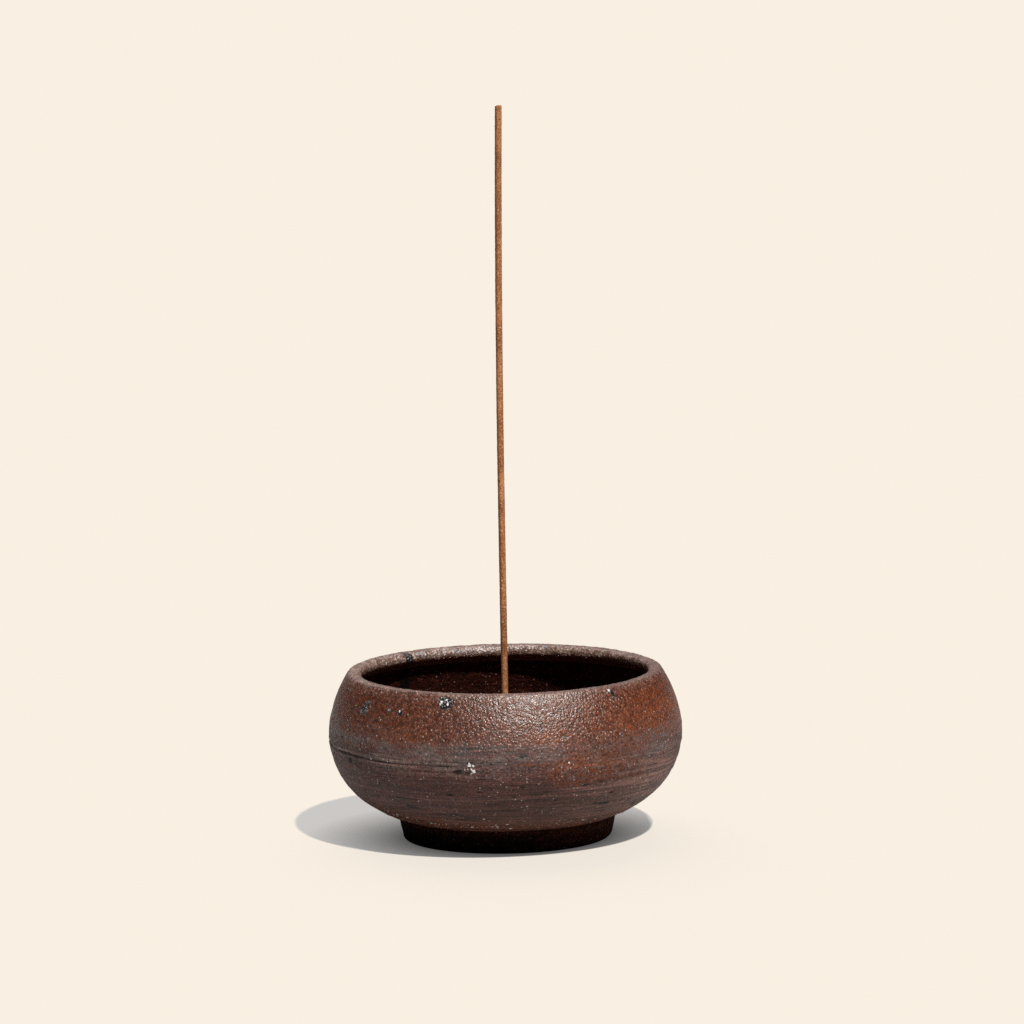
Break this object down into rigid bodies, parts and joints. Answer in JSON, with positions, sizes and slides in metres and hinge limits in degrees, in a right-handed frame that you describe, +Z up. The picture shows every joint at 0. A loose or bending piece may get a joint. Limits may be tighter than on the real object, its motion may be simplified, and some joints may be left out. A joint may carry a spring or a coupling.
{
  "type": "incense burner",
  "caption": "Low round stoneware bowl on a foot ring, with a loose turned brass stand on its floor that holds a thin incense stick upright.",
  "frame": {"origin": "on the table, at the centre of the foot ring, which is the bottom centre of the whole object's box", "axes": "+Z is up, along the middle line of the bowl and of the stick; +X is the side that the top of the stick leans to; +Y is away from the viewer"},
  "size_m": [0.111, 0.111, 0.229],
  "materials": {
    "stoneware": "matte",
    "turned_brass": "satin",
    "incense": "matte"
  },
  "bodies": {
    "bowl": {"bowl": "stoneware"},
    "stick_stand": {"stick_stand": "turned_brass"},
    "incense_stick": {"incense_stick": "incense"}
  },
  "joints": [
    {"name": "stand_lift", "type": "slide", "parent": "bowl", "child": "stick_stand", "axis": [0, 0, 1], "range_m": [0, 0.05]},
    {"name": "stick_lift", "type": "slide", "parent": "stick_stand", "child": "incense_stick", "axis": [0, 0, 1], "range_m": [0, 0.06]}
  ]
}
